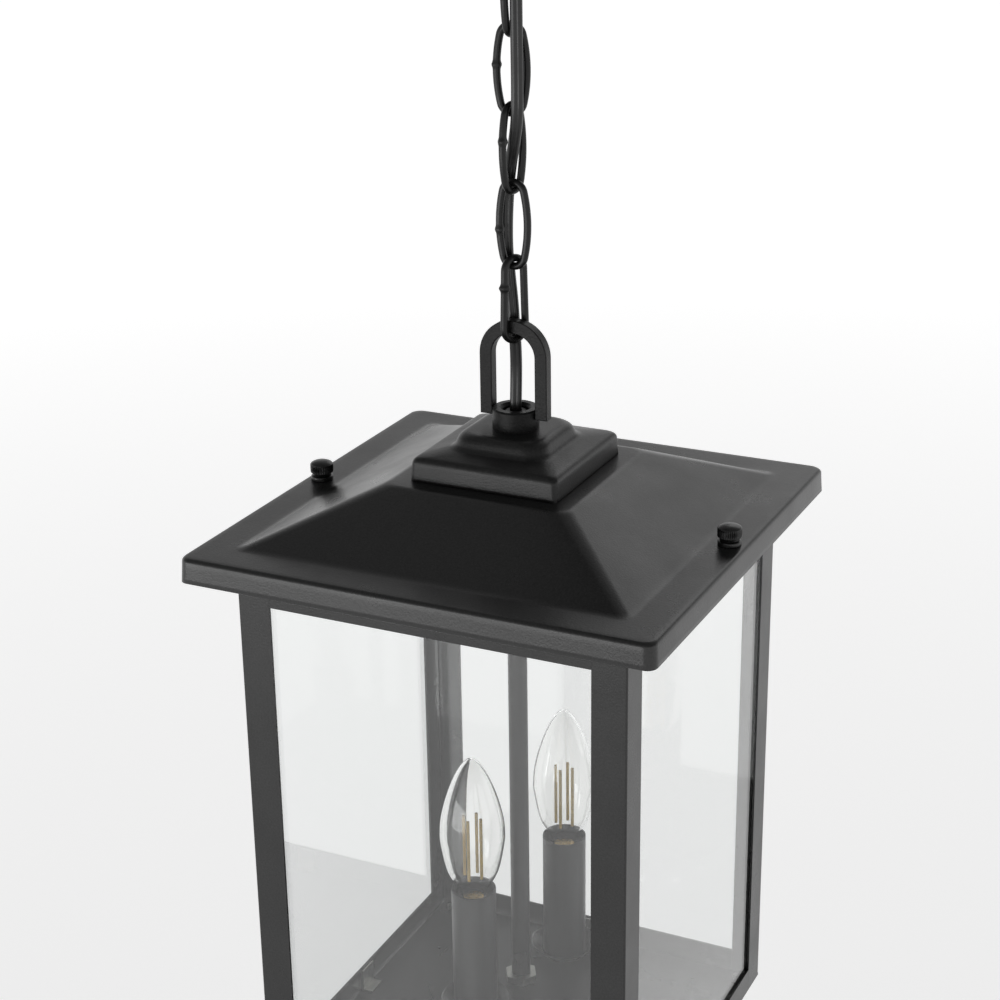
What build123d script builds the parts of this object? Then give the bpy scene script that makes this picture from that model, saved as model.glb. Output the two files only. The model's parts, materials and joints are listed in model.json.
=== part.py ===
from build123d import *
import math
import os

os.makedirs("parts", exist_ok=True)

# A square sheet-metal lantern that hangs on a short chain from a ceiling canopy.
# Origin: centre of the canopy's ceiling face.  +Z up, +X along the lantern's front, +Y to its back.
# Heights inside the lantern are given above the lower edge of the roof's rim, and level() turns
# such a height into Z.

# ---------------------------------------------------------------- driving dimensions, millimetres
CEILING_HEIGHT = 350.0  # ceiling face above the roof's rim

ROOF_SIDE = 250.0
RIM_DEPTH = 12.7  # height of the roof's turned-down edge
ROOF_SHEET = 0.9
RIM_EDGE_R = 2.0
RIM_CORNER_R = 6.0
HIP_BASE = 206.0  # square on which the four slopes stand
HIP_BASE_R = 12.0
BROW = 100.0  # square where the slopes end
BROW_HEIGHT = 36.5
BROW_R = 8.0

CAP_SHEET = 1.2
CAP_FOOT = 78.6
CAP_HEIGHT = 57.0

STEM_R = 5.15
STEM_BORE_R = 3.9
STEM_TOP = 62.9
STEM_FOOT = -284.0

COLLAR_R = 11.9
COLLAR_TOP = 68.6
COLLAR_SEAT = 63.0  # ledge between the collar's two bores

YOKE_INSIDE_R = 11.8
YOKE_BAR = 6.6
YOKE_DEPTH = 6.0
YOKE_FOOT = 63.8
YOKE_INSIDE_TOP = 107.3

LINK_WIRE_R = 1.9
LINK_HALF_LENGTH = 20.8  # along the wire's centre line
LINK_HALF_WIDTH = 7.5
LINK_END_R = 5.8
LOWEST_LINK_FOOT_R = 6.8  # the lowest link is wide at the yoke and narrow at the top
LOWEST_LINK_TOP_R = 6.0
LINK_GAP = 0.3  # between two links where they hang in each other
YOKE_LINK_GAP = 1.8  # the square yoke bar sits on the flanks of the link's round end
LINK_TURNS = [65.0, 0.0, 75.0, 8.0, 90.0]  # plane of each link from X, lowest link first

CORD_R = 3.0

CAGE_HALF = 104.1  # outer faces of the corner posts
POST_LEG = 18.0
POST_SHEET = 1.2
RAIL_FOOT = -15.3
CAGE_FOOT = -302.0
FLANGE_TOP = 11.7  # top of the cage's clamping flange, just under the roof sheet
FLANGE_OUT = 122.0
FLANGE_IN = 92.0
BOTTOM_RAIL_TOP = -288.0
BOTTOM_LEDGE_IN = 88.0

GLASS = 3.0
GLASS_WIDTH = 198.0
GLASS_SEAT = 0.3

KNOB_OUT = 115.0
STUD_R = 2.0
STUD_TOP = 20.0

LAMP_REACH = 37.0
LAMP_TURN = 73.0  # direction of the rear lamp from X
PLATE_TOP = -268.0
PLATE_R = 52.0
SLEEVE_TOP = -193.0
BULB_TIP = -115.3

CANOPY_SIDE = 120.0
CANOPY_DEPTH = 26.0
LOOP_BAR_R = 2.5
LOOP_HALF = 12.2
LOOP_STEM_R = 10.0


def level(height):
    """Z of a height above the roof's rim."""
    return height - CEILING_HEIGHT


def save(piece, label):
    piece.part.label = label
    export_step(piece.part, f"parts/{label}.step")


# ---------------------------------------------------------------- shared shapes
def inset(outline, by):
    """A four-sided shell's outline moved inwards by the sheet's thickness."""
    turn = 1 if outline[-1][1] > outline[0][1] else -1
    points = outline + [(0.0, outline[-1][1])]
    lines = []
    for (x0, z0), (x1, z1) in zip(points, points[1:]):
        length = math.hypot(x1 - x0, z1 - z0)
        along = ((x1 - x0) / length, (z1 - z0) / length)
        lines.append(((x0 - turn * along[1] * by, z0 + turn * along[0] * by), along))
    moved = [(lines[0][0][0], outline[0][1] - turn)]
    for ((px, pz), (ux, uz)), ((qx, qz), (vx, vz)) in zip(lines, lines[1:]):
        run = ((qx - px) * vz - (qz - pz) * vx) / (ux * vz - uz * vx)
        moved.append((px + run * ux, pz + run * uz))
    return moved


def four_sided(outline, radii, corner):
    """A square solid with the same outline on all four sides and mitred hips between them."""
    points = [(-x, z) for x, z in outline] + [(x, z) for x, z in reversed(outline)]
    side = 2 * max(x for x, z in outline)
    lowest = min(z for x, z in outline)
    rise = max(z for x, z in outline) - lowest
    with BuildPart() as solid:
        for plane, mode in ((Plane.XZ, Mode.ADD), (Plane.YZ, Mode.INTERSECT)):
            with BuildSketch(plane):
                with BuildLine():
                    path = FilletPolyline(*points, radius=radii + radii[::-1])
                    Line(path @ 1, path @ 0)
                make_face()
            extrude(amount=side, both=True, mode=mode)
        with BuildSketch(Plane.XY.offset(lowest)):
            RectangleRounded(side, side, corner)
        extrude(amount=rise, mode=Mode.INTERSECT)
    return solid.part


def round_piece(outline, at=(0.0, 0.0)):
    """A turned piece from the (radius, Z) points of its half section, on an axis at (x, y)."""
    axis_plane = Plane((at[0], at[1], 0), x_dir=(1, 0, 0), z_dir=(0, -1, 0))
    with BuildPart() as turned:
        with BuildSketch(axis_plane):
            with BuildLine():
                Polyline(*outline, close=True)
            make_face()
        revolve(axis=Axis((at[0], at[1], 0), (0, 0, 1)))
    return turned.part


def tube_outline(outer, inner, low, high):
    return [(inner, low), (outer, low), (outer, high), (inner, high)]


def swept_wire(points, radius, bends):
    """A round wire along straight runs joined by tangent arcs."""
    with BuildPart() as wire:
        with BuildLine() as route:
            FilletPolyline(*points, radius=bends)
        with BuildSketch(Plane(origin=route.line @ 0, z_dir=route.line % 0)):
            Circle(radius)
        sweep()
    return wire.part


def largest_bends(points):
    """The largest arc that fits each corner of a route: 0.45 of the shorter run."""
    corners = []
    for before, here, after in zip(points, points[1:], points[2:]):
        arrive = Vector(*here) - Vector(*before)
        leave = Vector(*after) - Vector(*here)
        half_turn = math.radians(arrive.get_angle(leave)) / 2
        corners.append(0.45 * min(arrive.length, leave.length) / math.tan(half_turn))
    return corners


# ---------------------------------------------------------------- ceiling set
CROSSBAR_DROP = 15.0
CROSSBAR_SHEET = 2.0
CROSSBAR_WIDTH = 20.0
SLOT_SPACING = 84.0
SLOT_LENGTH = 10.0
SLOT_R = 2.25
NIPPLE_R = 4.85
NIPPLE_BORE_R = 3.6
NIPPLE_TOP = -11.0
NIPPLE_FOOT = -36.0
NUT_FLATS = 14.0
NUT_DEPTH = 3.0
GROUND_SCREW_AT = (-14.0, 5.0)

with BuildPart() as crossbar:
    with BuildSketch(Plane.XZ):
        with BuildLine():
            top = [(-50, 0), (-33, 0), (-21, -CROSSBAR_DROP), (21, -CROSSBAR_DROP), (33, 0), (50, 0)]
            under = [(50, 0), (34, 0), (22, -CROSSBAR_DROP), (-22, -CROSSBAR_DROP), (-34, 0), (-50, 0)]
            Polyline(*top, *[(x, z - CROSSBAR_SHEET) for x, z in under], close=True)
        make_face()
    extrude(amount=CROSSBAR_WIDTH / 2, both=True)
    with BuildSketch(Plane.XY.offset(-CROSSBAR_DROP - CROSSBAR_SHEET)):
        Circle(NIPPLE_R + 0.15)
        with Locations(GROUND_SCREW_AT):
            Circle(1.7)
        with GridLocations(SLOT_SPACING, 1, 2, 1):
            SlotOverall(SLOT_LENGTH, 2 * SLOT_R)
    extrude(amount=CROSSBAR_DROP + CROSSBAR_SHEET, mode=Mode.SUBTRACT)
save(crossbar, "crossbar")

with BuildPart() as ground_screw:
    with BuildSketch(Plane.XY.offset(-CROSSBAR_DROP - CROSSBAR_SHEET)):
        with Locations(GROUND_SCREW_AT):
            RegularPolygon(3.6, 6)
    extrude(amount=-2.4)
    with BuildSketch(Plane.XY.offset(-CROSSBAR_DROP - CROSSBAR_SHEET)):
        with Locations(GROUND_SCREW_AT):
            Circle(1.55)
    extrude(amount=6.0)
save(ground_screw, "ground_screw")

with BuildPart() as nipple:
    add(round_piece(tube_outline(NIPPLE_R, NIPPLE_BORE_R, NIPPLE_FOOT, NIPPLE_TOP)))
save(nipple, "canopy_nipple")

with BuildPart() as nipple_nuts:
    for foot in (-CROSSBAR_DROP, -CROSSBAR_DROP - CROSSBAR_SHEET - NUT_DEPTH):
        with BuildSketch(Plane.XY.offset(foot)):
            RegularPolygon(NUT_FLATS / 2, 6, major_radius=False)
            Circle(NIPPLE_R + 0.1, mode=Mode.SUBTRACT)
        extrude(amount=NUT_DEPTH)
save(nipple_nuts, "nipple_nuts")

canopy_outline = [(CANOPY_SIDE / 2, 0.0), (CANOPY_SIDE / 2 - 1.2, -9.5), (38.0, -12.5), (33.0, -CANOPY_DEPTH)]
canopy_hollow = four_sided(inset(canopy_outline, 1.0), [2.0, 4.0, 3.0], 5.0)
with BuildPart() as canopy:
    add(four_sided(canopy_outline, [3.0, 3.0, 4.0], 6.0))
    add(canopy_hollow, mode=Mode.SUBTRACT)
    with BuildSketch(Plane.XY.offset(-CANOPY_DEPTH - 1)):
        Circle(NIPPLE_R + 0.4)
    extrude(amount=3.0, mode=Mode.SUBTRACT)
save(canopy, "canopy")

# the loop's bar carries the chain: its upper side lies just under the top link's wire
link_pitch = 2 * (LINK_HALF_LENGTH - LINK_WIRE_R) - LINK_GAP
first_link_inside = YOKE_INSIDE_TOP - YOKE_LINK_GAP
chain_top = first_link_inside + link_pitch * len(LINK_TURNS)
loop_bottom = level(chain_top) - LOOP_BAR_R
loop_centre = loop_bottom + LOOP_HALF
loop_stem_foot = -CANOPY_DEPTH - 14.0

with BuildPart() as canopy_loop:
    add(
        round_piece(
            [
                (NIPPLE_R + 0.1, -CANOPY_DEPTH),
                (LOOP_STEM_R, -CANOPY_DEPTH),
                (LOOP_STEM_R, loop_stem_foot + 1.0),
                (LOOP_STEM_R - 1.0, loop_stem_foot),
                (6.4, loop_stem_foot),
                (4.6, loop_stem_foot + 1.8),
                (4.6, NIPPLE_FOOT - 0.3),
                (NIPPLE_R + 0.1, NIPPLE_FOOT - 0.3),
            ]
        )
    )
    with BuildLine(Plane.XZ) as loop_route:
        Line((-LOOP_HALF, -31.0), (-LOOP_HALF, loop_centre))
        CenterArc((0, loop_centre), LOOP_HALF, 180, 180)
        Line((LOOP_HALF, loop_centre), (LOOP_HALF, -31.0))
    with BuildSketch(Plane(origin=(-LOOP_HALF, 0, -31.0), z_dir=(0, 0, -1))):
        Circle(LOOP_BAR_R)
    sweep()
save(canopy_loop, "canopy_loop")


# ---------------------------------------------------------------- chain
def link_plane(middle, turn):
    turn_rad = math.radians(turn)
    across = (math.cos(turn_rad), math.sin(turn_rad), 0)
    return Plane((0, 0, middle), x_dir=across, z_dir=(across[1], -across[0], 0))


def oval_link(middle, turn):
    """One oval link: two small end arcs and two long side arcs, tangent to each other."""
    end_centre = LINK_HALF_LENGTH - LINK_END_R
    side_r = (LINK_HALF_WIDTH**2 + end_centre**2 - LINK_END_R**2) / (2 * (LINK_HALF_WIDTH - LINK_END_R))
    side_centre = side_r - LINK_HALF_WIDTH
    meet = math.degrees(math.atan2(end_centre, side_centre))
    with BuildPart() as link:
        with BuildLine(link_plane(middle, turn)) as oval:
            CenterArc((-side_centre, 0), side_r, -meet, 2 * meet)
            CenterArc((0, end_centre), LINK_END_R, meet, 180 - 2 * meet)
            CenterArc((side_centre, 0), side_r, 180 - meet, 2 * meet)
            CenterArc((0, -end_centre), LINK_END_R, 180 + meet, 180 - 2 * meet)
        with BuildSketch(Plane(origin=oval.line @ 0, z_dir=oval.line % 0)):
            Circle(LINK_WIRE_R)
        sweep()
    return link


def pear_link(middle, turn):
    """The lowest link: a wide arc at its foot, a narrow one at its top, straight sides between."""
    foot_centre = LOWEST_LINK_FOOT_R - LINK_HALF_LENGTH
    top_centre = LINK_HALF_LENGTH - LOWEST_LINK_TOP_R
    lean = math.degrees(math.asin((LOWEST_LINK_FOOT_R - LOWEST_LINK_TOP_R) / (top_centre - foot_centre)))
    with BuildPart() as link:
        with BuildLine(link_plane(middle, turn)) as pear:
            foot = CenterArc((0, foot_centre), LOWEST_LINK_FOOT_R, 180 - lean, 180 + 2 * lean)
            top = CenterArc((0, top_centre), LOWEST_LINK_TOP_R, lean, 180 - 2 * lean)
            Line(foot @ 1, top @ 0)
            Line(top @ 1, foot @ 0)
        with BuildSketch(Plane(origin=pear.line @ 0, z_dir=pear.line % 0)):
            Circle(LINK_WIRE_R)
        sweep()
    return link


for number, turn in enumerate(LINK_TURNS, start=1):
    inside = first_link_inside + (number - 1) * link_pitch
    middle = level(inside) - LINK_WIRE_R + LINK_HALF_LENGTH
    make_link = pear_link if number == 1 else oval_link
    save(make_link(middle, turn), f"chain_link_{number}")


# ---------------------------------------------------------------- supply cord
CORD_POINTS = [
    (0.0, 0.0, 66.8),
    (0.3, 0.5, 83.5),
    (-1.3, 3.9, 96.0),
    (-3.6, 7.1, 107.8),
    (-4.4, 7.4, 120.0),
    (-5.3, 6.2, 133.8),
    (-6.2, 5.3, 148.0),
    (-6.0, 5.2, 164.2),
    (-5.2, 5.8, 179.1),
    (-2.7, 3.3, 190.7),
    (1.1, -0.6, 201.8),
    (4.8, -4.7, 214.5),
    (5.4, -5.5, 230.3),
    (5.2, -5.2, 247.6),
    (5.3, -5.6, 263.3),
    (5.9, -6.8, 278.9),
    (5.3, -5.8, 295.1),
    (0.0, 0.0, 311.5),
    (0.0, 0.0, 340.0),
]
cord_route = [(x, y, level(height)) for x, y, height in CORD_POINTS]
cord_bends = largest_bends(cord_route)
print("cord bend radii", [round(r, 1) for r in cord_bends])
with BuildPart() as cord:
    add(swept_wire(cord_route, CORD_R, cord_bends))
with BuildLine() as cord_line:
    FilletPolyline(*cord_route, radius=cord_bends)
cord_length = sum(edge.length for edge in cord_line.edges())
print("cord length", round(cord_length, 1))
print("cord volume over section times length", round(cord.part.volume / (math.pi * CORD_R**2 * cord_length), 4))
save(cord, "supply_cord")

with BuildPart() as ceiling_leads:
    for side in (-1, 1):
        lead = [
            (side * 1.3, 0, -9.8),
            (side * 1.3, 0, -4.5),
            (side * 10.0, 8.0, -4.5),
            (side * 19.0, 13.5, -9.0),
            (side * 19.0, 17.8, -15.6),
        ]
        add(swept_wire(lead, 1.1, [2.0, 6.0, 5.0]))
save(ceiling_leads, "ceiling_leads")

with BuildPart() as wire_connectors:
    for side in (-1, 1):
        with BuildSketch(Plane((side * 19.0, 18.8, -16.5), x_dir=(1, 0, 0), z_dir=(0, 1, 0))):
            Circle(4.4)
        extrude(amount=13.0, taper=6)
save(wire_connectors, "wire_connectors")

# ---------------------------------------------------------------- yoke, collar and cap
with BuildPart() as yoke:
    outside_r = YOKE_INSIDE_R + YOKE_BAR
    arch_centre = level(YOKE_INSIDE_TOP - YOKE_INSIDE_R)
    foot = level(YOKE_FOOT)
    with BuildSketch(Plane.XZ):
        with BuildLine():
            Line((-outside_r, foot), (-outside_r, arch_centre))
            RadiusArc((-outside_r, arch_centre), (outside_r, arch_centre), outside_r)
            Line((outside_r, arch_centre), (outside_r, foot))
            Line((outside_r, foot), (YOKE_INSIDE_R, foot))
            Line((YOKE_INSIDE_R, foot), (YOKE_INSIDE_R, arch_centre))
            RadiusArc((YOKE_INSIDE_R, arch_centre), (-YOKE_INSIDE_R, arch_centre), -YOKE_INSIDE_R)
            Line((-YOKE_INSIDE_R, arch_centre), (-YOKE_INSIDE_R, foot))
            Line((-YOKE_INSIDE_R, foot), (-outside_r, foot))
        make_face()
    extrude(amount=YOKE_DEPTH / 2, both=True)
    faces_front_back = yoke.faces().filter_by(Axis.Y)
    fillet(faces_front_back.edges(), 0.5)
    with BuildSketch(Plane.XY.offset(foot)):
        Circle(COLLAR_R + 0.02)
    extrude(amount=COLLAR_TOP - YOKE_FOOT + 0.1, mode=Mode.SUBTRACT)
save(yoke, "yoke")

with BuildPart() as collar:
    add(
        round_piece(
            [
                (STEM_R + 0.1, level(CAP_HEIGHT)),
                (COLLAR_R, level(CAP_HEIGHT)),
                (COLLAR_R, level(COLLAR_TOP - 0.8)),
                (COLLAR_R - 0.8, level(COLLAR_TOP)),
                (8.1, level(COLLAR_TOP)),
                (6.8, level(COLLAR_TOP - 1.5)),
                (6.8, level(COLLAR_SEAT)),
                (STEM_R + 0.1, level(COLLAR_SEAT)),
            ]
        )
    )
save(collar, "collar")

with BuildPart() as stem_bushing:
    add(
        round_piece(
            [
                (CORD_R + 0.2, level(COLLAR_SEAT)),
                (6.6, level(COLLAR_SEAT)),
                (6.6, level(COLLAR_SEAT + 2.6)),
                (5.0, level(COLLAR_SEAT + 3.8)),
                (CORD_R + 0.2, level(COLLAR_SEAT + 3.8)),
            ]
        )
    )
save(stem_bushing, "stem_bushing")

cap_outline = [
    (CAP_FOOT / 2, level(BROW_HEIGHT)),
    (38.2, level(47.3)),
    (24.8, level(49.6)),
    (22.4, level(CAP_HEIGHT)),
]
cap_hollow = four_sided(inset(cap_outline, CAP_SHEET), [1.3, 3.7, 1.8], 3.0)
with BuildPart() as cap:
    add(four_sided(cap_outline, [2.5, 2.5, 3.0], 4.0))
    add(cap_hollow, mode=Mode.SUBTRACT)
    with BuildSketch(Plane.XY.offset(level(BROW_HEIGHT))):
        Circle(STEM_R + 0.25)
    extrude(amount=CAP_HEIGHT - BROW_HEIGHT, mode=Mode.SUBTRACT)
save(cap, "roof_cap")

# ---------------------------------------------------------------- roof
roof_outline = [
    (ROOF_SIDE / 2, level(0)),
    (ROOF_SIDE / 2, level(RIM_DEPTH)),
    (HIP_BASE / 2, level(RIM_DEPTH)),
    (BROW / 2, level(BROW_HEIGHT)),
]
roof_hollow = four_sided(
    inset(roof_outline, ROOF_SHEET),
    [RIM_EDGE_R - ROOF_SHEET, HIP_BASE_R + ROOF_SHEET, BROW_R - ROOF_SHEET],
    RIM_CORNER_R - ROOF_SHEET,
)
with BuildPart() as roof:
    add(four_sided(roof_outline, [RIM_EDGE_R, HIP_BASE_R, BROW_R], RIM_CORNER_R))
    add(roof_hollow, mode=Mode.SUBTRACT)
    with BuildSketch(Plane.XY.offset(level(0))):
        Circle(STEM_R + 0.25)
        with GridLocations(2 * KNOB_OUT, 1, 2, 1):
            Circle(STUD_R + 0.6)
    extrude(amount=BROW_HEIGHT + 1, mode=Mode.SUBTRACT)
save(roof, "roof")

# ---------------------------------------------------------------- stem and its nuts
lamp_turn_rad = math.radians(LAMP_TURN)
lamp_way = (math.cos(lamp_turn_rad), math.sin(lamp_turn_rad))
lamp_places = {
    "rear": (LAMP_REACH * lamp_way[0], LAMP_REACH * lamp_way[1]),
    "front": (-LAMP_REACH * lamp_way[0], -LAMP_REACH * lamp_way[1]),
}
LEAD_LEVEL = -276.4
STEM_NUT_DEPTH = 4.0
PLATE_SHEET = 1.2
WASHER_DEPTH = 1.5

with BuildPart() as stem:
    add(round_piece(tube_outline(STEM_R, STEM_BORE_R, level(STEM_FOOT), level(STEM_TOP))))
    wireway_plane = Plane(
        (0, 0, level(LEAD_LEVEL)), x_dir=(-lamp_way[1], lamp_way[0], 0), z_dir=(*lamp_way, 0)
    )
    with BuildSketch(wireway_plane):
        Rectangle(4.6, 5.0)
    extrude(amount=2 * STEM_R, both=True, mode=Mode.SUBTRACT)
save(stem, "stem")

with BuildPart() as stem_cord:
    add(round_piece([(0, level(-270.0)), (CORD_R, level(-270.0)), (CORD_R, level(66.5)), (0, level(66.5))]))
save(stem_cord, "stem_cord")

roof_underside = BROW_HEIGHT - ROOF_SHEET
with BuildPart() as roof_washer:
    add(
        round_piece(
            tube_outline(11.0, STEM_R + 0.15, level(roof_underside - WASHER_DEPTH), level(roof_underside))
        )
    )
save(roof_washer, "roof_washer")

with BuildPart() as stem_nuts:
    nut_feet = (
        roof_underside - WASHER_DEPTH - STEM_NUT_DEPTH,
        PLATE_TOP,
        PLATE_TOP - PLATE_SHEET - STEM_NUT_DEPTH,
    )
    for nut_foot in nut_feet:
        with BuildSketch(Plane.XY.offset(level(nut_foot))):
            RegularPolygon(8.0, 6, major_radius=False)
            Circle(STEM_R + 0.1, mode=Mode.SUBTRACT)
        extrude(amount=STEM_NUT_DEPTH)
save(stem_nuts, "stem_nuts")

# ---------------------------------------------------------------- lamp cluster
PAN_FOOT = -281.2
POST_R = 4.85
POST_FOOT = -273.6
SOCKET_FOOT = -225.0
SOCKET_TOP = -197.0
SOCKET_R = 10.4

with BuildPart() as cluster_plate:
    with BuildSketch(Plane.XY.offset(level(PLATE_TOP - PLATE_SHEET))):
        Circle(PLATE_R)
        Circle(STEM_R + 0.15, mode=Mode.SUBTRACT)
        with Locations(*lamp_places.values()):
            Circle(POST_R + 0.15, mode=Mode.SUBTRACT)
    extrude(amount=PLATE_SHEET)
save(cluster_plate, "cluster_plate")

with BuildPart() as cluster_pan:
    rim = level(PLATE_TOP - PLATE_SHEET)
    bottom = level(PAN_FOOT)
    add(
        round_piece(
            [
                (STEM_R + 0.15, bottom),
                (34.0, bottom),
                (46.0, bottom + 3.4),
                (PLATE_R, rim - 1.6),
                (PLATE_R, rim),
                (PLATE_R - 1.0, rim),
                (PLATE_R - 1.0, rim - 1.2),
                (45.5, bottom + 4.3),
                (33.8, bottom + 1.0),
                (STEM_R + 0.15, bottom + 1.0),
            ]
        )
    )
save(cluster_pan, "cluster_pan")

with BuildPart() as finial:
    with BuildSketch(Plane.XZ):
        with BuildLine():
            Polyline((0, level(-292.5)), (0, level(-284.5)), (STEM_R + 0.1, level(-284.5)))
            Polyline((STEM_R + 0.1, level(-284.5)), (STEM_R + 0.1, level(PAN_FOOT)), (8.5, level(PAN_FOOT)))
            Line((8.5, level(PAN_FOOT)), (8.5, level(-283.0)))
            Spline((8.5, level(-283.0)), (7.0, level(-288.0)), (0, level(-292.5)),
                   tangents=[(0, -1), (-1, 0)])
        make_face()
    revolve(axis=Axis.Z)
save(finial, "finial")

with BuildPart() as socket_nuts:
    for place in lamp_places.values():
        with BuildSketch(Plane.XY.offset(level(PLATE_TOP - PLATE_SHEET - NUT_DEPTH))):
            with Locations(place):
                RegularPolygon(NUT_FLATS / 2, 6, major_radius=False)
                Circle(POST_R + 0.1, mode=Mode.SUBTRACT)
        extrude(amount=NUT_DEPTH)
save(socket_nuts, "socket_nuts")

with BuildPart() as socket_posts:
    for place in lamp_places.values():
        add(round_piece(tube_outline(POST_R, 3.0, level(POST_FOOT), level(SOCKET_FOOT)), place))
save(socket_posts, "socket_posts")

with BuildPart() as socket_contacts:
    for place in lamp_places.values():
        add(round_piece(tube_outline(6.75, 6.3, level(-214.5), level(-199.5)), place))
        button = [(0, -216.0), (2.6, -216.0), (2.6, -215.3), (0, -215.3)]
        add(round_piece([(r, level(height)) for r, height in button], place))
save(socket_contacts, "socket_contacts")

with BuildPart() as socket_leads:
    for side in (-1, 1):
        for beside in (-0.95, 0.95):
            shift = (-lamp_way[1] * beside, lamp_way[0] * beside)
            route = [
                (side * lamp_way[0] * out + shift[0], side * lamp_way[1] * out + shift[1], level(height))
                for out, height in ((1.2, -270.2), (1.2, LEAD_LEVEL), (LAMP_REACH, LEAD_LEVEL),
                                    (LAMP_REACH, SOCKET_FOOT - 0.2))
            ]
            add(swept_wire(route, 0.8, [2.0, 4.0]))
save(socket_leads, "socket_leads")

# radius and height of the bulb's wall, from the tip down to the neck
BULB_OUTLINE = [
    (0.0, BULB_TIP),
    (3.2, -116.5),
    (6.3, -120.5),
    (9.8, -127.3),
    (13.4, -137.1),
    (16.8, -151.5),
    (17.2, -162.0),
    (13.8, -181.0),
    (8.2, -191.5),
    (6.4, -197.4),
]


def bulb_wall(at, inwards):
    """The solid inside the bulb's wall: its outer face, or its inner face moved in by the glass."""
    outline = [(0.0, level(BULB_TIP - inwards))]
    for (r0, h0), (r, height), (r1, h1) in zip(BULB_OUTLINE, BULB_OUTLINE[1:], BULB_OUTLINE[2:]):
        run = math.hypot(r1 - r0, h1 - h0)
        outline.append((r + inwards * (h1 - h0) / run, level(height - inwards * (r1 - r0) / run)))
    outline.append((BULB_OUTLINE[-1][0] - inwards, level(BULB_OUTLINE[-1][1])))
    axis_plane = Plane((at[0], at[1], 0), x_dir=(1, 0, 0), z_dir=(0, -1, 0))
    with BuildPart() as solid:
        with BuildSketch(axis_plane):
            with BuildLine():
                Spline(*outline, tangents=[(1, -0.12), (-0.3, -1)])
                Polyline(outline[-1], (0, outline[-1][1]), outline[0])
            make_face()
        revolve(axis=Axis((at[0], at[1], 0), (0, 0, 1)))
    return solid.part


for name, place in lamp_places.items():
    with BuildPart() as drip_cup:
        cup_outline = [
            (POST_R + 0.15, PLATE_TOP),
            (12.5, PLATE_TOP),
            (19.0, PLATE_TOP + 6.0),
            (18.3, PLATE_TOP + 6.6),
            (12.2, PLATE_TOP + 1.0),
            (POST_R + 0.15, PLATE_TOP + 1.0),
        ]
        add(round_piece([(r, level(height)) for r, height in cup_outline], place))
    save(drip_cup, f"drip_cup_{name}")

    with BuildPart() as socket:
        socket_outline = [
            (0, SOCKET_FOOT),
            (SOCKET_R, SOCKET_FOOT),
            (SOCKET_R, SOCKET_TOP),
            (6.9, SOCKET_TOP),
            (6.9, -216.0),
            (0, -216.0),
        ]
        add(round_piece([(r, level(height)) for r, height in socket_outline], place))
    save(socket, f"lamp_socket_{name}")

    with BuildPart() as sleeve:
        add(round_piece(tube_outline(12.0, 11.0, level(PLATE_TOP + 1.0), level(SLEEVE_TOP)), place))
    save(sleeve, f"candle_sleeve_{name}")

    with BuildPart() as bulb_base:
        base_outline = [
            (0, -215.0),
            (2.2, -215.0),
            (3.4, -213.2),
            (5.9, -212.0),
            (5.9, -197.6),
            (0, -197.6),
        ]
        add(round_piece([(r, level(height)) for r, height in base_outline], place))
    save(bulb_base, f"bulb_base_{name}")

    bulb_hollow = bulb_wall(place, 0.8)
    with BuildPart() as bulb_glass:
        add(bulb_wall(place, 0.0))
        add(bulb_hollow, mode=Mode.SUBTRACT)
    save(bulb_glass, f"bulb_glass_{name}")

    with BuildPart() as filaments:
        with BuildSketch(Plane.XY.offset(level(-186.0))):
            with Locations(place):
                with PolarLocations(5.0, 4):
                    Circle(0.85)
        extrude(amount=36.0)
    save(filaments, f"bulb_filaments_{name}")

# ---------------------------------------------------------------- cage
flange_under = FLANGE_TOP - POST_SHEET
rail_half = CAGE_HALF - POST_LEG - 0.1
ledge_top = CAGE_FOOT + POST_SHEET


def rails(low, high):
    """Four flat rails between the posts, flush with the posts' faces."""
    strips = []
    for quarter in range(4):
        spin = Plane.XY.rotated((0, 0, 90 * quarter)).offset(level(low))
        with BuildPart() as strip:
            with BuildSketch(spin):
                with Locations((0, CAGE_HALF - POST_SHEET / 2)):
                    Rectangle(2 * rail_half, POST_SHEET)
            extrude(amount=high - low)
        strips.append(strip.part)
    return strips


with BuildPart() as top_frame:
    with BuildSketch(Plane.XY.offset(level(flange_under))):
        RectangleRounded(2 * FLANGE_OUT, 2 * FLANGE_OUT, 4.0)
        Rectangle(2 * FLANGE_IN, 2 * FLANGE_IN, mode=Mode.SUBTRACT)
    extrude(amount=POST_SHEET)
    for strip in rails(RAIL_FOOT, flange_under):
        add(strip)
save(top_frame, "top_frame")

with BuildPart() as bottom_frame:
    with BuildSketch(Plane.XY.offset(level(CAGE_FOOT))):
        Rectangle(2 * CAGE_HALF, 2 * CAGE_HALF)
        Rectangle(2 * BOTTOM_LEDGE_IN, 2 * BOTTOM_LEDGE_IN, mode=Mode.SUBTRACT)
        with GridLocations(184.0, 184.0, 2, 2):
            Circle(1.7, mode=Mode.SUBTRACT)
    extrude(amount=POST_SHEET)
    for strip in rails(ledge_top, BOTTOM_RAIL_TOP):
        add(strip)
save(bottom_frame, "bottom_frame")

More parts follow.
